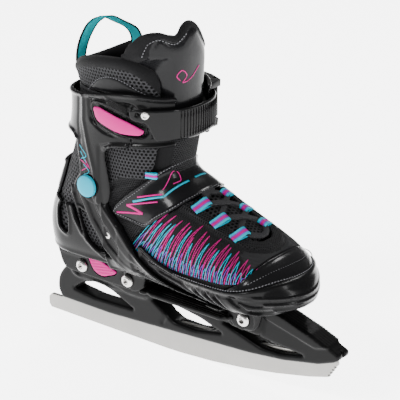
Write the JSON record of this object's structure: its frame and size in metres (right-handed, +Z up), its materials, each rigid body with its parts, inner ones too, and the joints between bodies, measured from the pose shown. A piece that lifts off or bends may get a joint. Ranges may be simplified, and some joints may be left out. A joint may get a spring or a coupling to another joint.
{
  "type": "ice skates",
  "caption": "Size-adjustable ice skate for the left foot: soft padded boot in a two-part plastic shell with hinged cuff, straps, laces, blade holder and steel blade.",
  "frame": {"origin": "middle of the footbed's top, where the foot stands in the skate", "axes": "+Z up, +X towards the toe, +Y towards the outer side of the foot"},
  "size_m": [0.311, 0.107, 0.2841],
  "materials": {
    "steel_blade": "satin ground stainless steel",
    "holder_plastic": "satin moulded nylon",
    "fastener_steel": "bright zinc",
    "shell_plastic": "semi-gloss moulded polypropylene",
    "strap_plastic": "glossy flexible plastic",
    "mesh_fabric": "open spacer mesh",
    "black_fabric": "woven polyester and knit",
    "black_leatherette": "semi-gloss coated leatherette",
    "pink_plastic": "gloss",
    "cyan_plastic": "gloss",
    "cyan_ribbon": "grosgrain ribbon",
    "lace_cord": "braided polyester"
  },
  "bodies": {
    "chassis": {"blade": "steel_blade", "blade_holder": "holder_plastic", "rear_frame_bolt": "fastener_steel", "middle_frame_bolt": "fastener_steel", "front_frame_bolt": "fastener_steel", "rear_sleeve_nut": "fastener_steel", "middle_sleeve_nut": "fastener_steel", "front_sleeve_nut": "fastener_steel", "rear_shell": "shell_plastic", "button_spring": "fastener_steel", "footbed": "black_fabric", "ankle_fabric": "mesh_fabric", "middle_tongue": "mesh_fabric", "instep_strap": "black_leatherette", "medial_arm_rivet": "fastener_steel", "lateral_arm_rivet": "fastener_steel", "medial_pivot_rivet": "fastener_steel", "lateral_pivot_rivet": "fastener_steel", "medial_pivot_cap": "cyan_plastic", "lateral_pivot_cap": "cyan_plastic"},
    "toe_part": {"front_shell": "shell_plastic", "toe_cap": "black_leatherette", "vamp": "black_fabric", "lower_tongue": "mesh_fabric", "lace": "lace_cord", "upper_medial_lace_loop": "cyan_ribbon", "upper_lateral_lace_loop": "cyan_ribbon", "middle_medial_lace_loop": "cyan_ribbon", "middle_lateral_lace_loop": "cyan_ribbon", "lower_medial_lace_loop": "cyan_ribbon", "lower_lateral_lace_loop": "cyan_ribbon"},
    "cuff_part": {"cuff": "shell_plastic", "shaft_fabric": "mesh_fabric", "collar_padding": "black_fabric", "upper_tongue": "black_leatherette", "cuff_inlay": "pink_plastic", "ladder_strap": "strap_plastic", "strap_screw": "fastener_steel", "buckle_base": "shell_plastic", "lever_pin": "fastener_steel", "tab_pin": "fastener_steel", "pull_loop": "cyan_ribbon"},
    "size_button": {"size_button": "pink_plastic"},
    "buckle_lever": {"buckle_lever": "shell_plastic"},
    "release_tab": {"release_tab": "shell_plastic"}
  },
  "joints": [
    {"name": "cuff_pivot", "type": "hinge", "parent": "chassis", "child": "cuff_part", "pos_m": [-0.061, 0, 0.065], "axis": [0, 1, 0], "range_deg": [-4, 12]},
    {"name": "size_slide", "type": "slide", "parent": "chassis", "child": "toe_part", "axis": [1, 0, 0], "range_m": [0, 0.02]},
    {"name": "size_button_press", "type": "slide", "parent": "chassis", "child": "size_button", "axis": [0, 1, 0], "range_m": [0, 0.003], "stiffness_N_per_m": 500, "springref_m": -0.002},
    {"name": "buckle_lever_lift", "type": "hinge", "parent": "cuff_part", "child": "buckle_lever", "pos_m": [-0.001, 0.04551, 0.126], "axis": [0, 0, -1], "range_deg": [0, 80]},
    {"name": "release_tab_lift", "type": "hinge", "parent": "cuff_part", "child": "release_tab", "pos_m": [-0.034, 0.05294, 0.126], "axis": [0, 0, -1], "range_deg": [0, 25], "stiffness_Nm_per_rad": 0.05, "springref_deg": -5.73}
  ]
}
